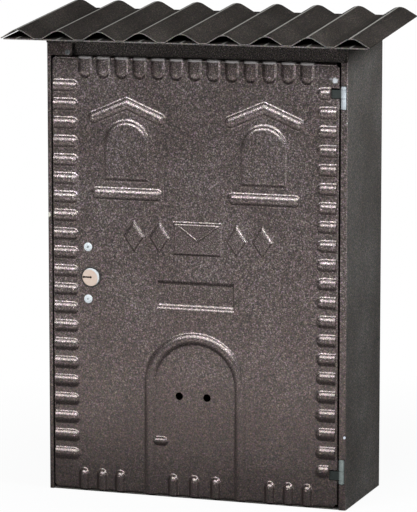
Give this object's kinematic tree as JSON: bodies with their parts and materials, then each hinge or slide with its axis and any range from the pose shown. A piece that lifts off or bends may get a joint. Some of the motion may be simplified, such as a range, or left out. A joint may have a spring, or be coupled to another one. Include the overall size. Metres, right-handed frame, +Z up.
{
  "type": "wall mailbox",
  "caption": "Wall mailbox of pressed steel sheet shaped like a small house, with a hinged locking door, a letter slot with a swinging flap and a corrugated lean-to roof.",
  "frame": {"origin": "centre of the four wall holes, on the outside of the back", "axes": "+X to the right of someone facing the door, +Y into the wall, +Z up"},
  "size_m": [0.2532, 0.1147, 0.3273],
  "materials": {
    "front_coat": "antique bronze hammered paint, satin, finely speckled",
    "case_coat": "antique bronze hammered paint, satin",
    "roof_coat": "dark grey-brown paint, satin",
    "zinc": "zinc plated steel",
    "brass": "brushed reddish brass"
  },
  "bodies": {
    "case": {"case_wrap": "case_coat", "case_floor": "case_coat", "front_header": "front_coat", "roof_plate": "roof_coat", "roof_sheet": "roof_coat", "lock_catch": "case_coat", "flap_bracket_left": "case_coat", "flap_bracket_right": "case_coat", "flap_bracket_rivet": "zinc", "flap_pin": "zinc", "hinge_upper_case_leaf": "case_coat", "hinge_lower_case_leaf": "case_coat", "hinge_upper_pin": "case_coat", "hinge_lower_pin": "case_coat"},
    "door": {"door_panel": "front_coat", "hinge_upper_door_leaf": "front_coat", "hinge_lower_door_leaf": "front_coat", "lock_housing": "zinc", "lock_rivet_upper": "zinc", "lock_rivet_lower": "zinc"},
    "lock": {"lock_plug": "brass", "lock_cam": "zinc", "cam_screw": "zinc"},
    "flap": {"letter_flap": "front_coat"}
  },
  "joints": [
    {"name": "door_hinge", "type": "hinge", "parent": "case", "child": "door", "pos_m": [0.1019, -0.0801, 0], "axis": [0, 0, 1], "range_deg": [0, 105]},
    {"name": "lock_turn", "type": "hinge", "parent": "door", "child": "lock", "pos_m": [-0.0738, -0.082, -0.003], "axis": [0, 1, 0], "range_deg": [-90, 0]},
    {"name": "flap_swing", "type": "hinge", "parent": "case", "child": "flap", "pos_m": [0, -0.0792, 0.1562], "axis": [1, 0, 0], "range_deg": [0, 75]}
  ]
}
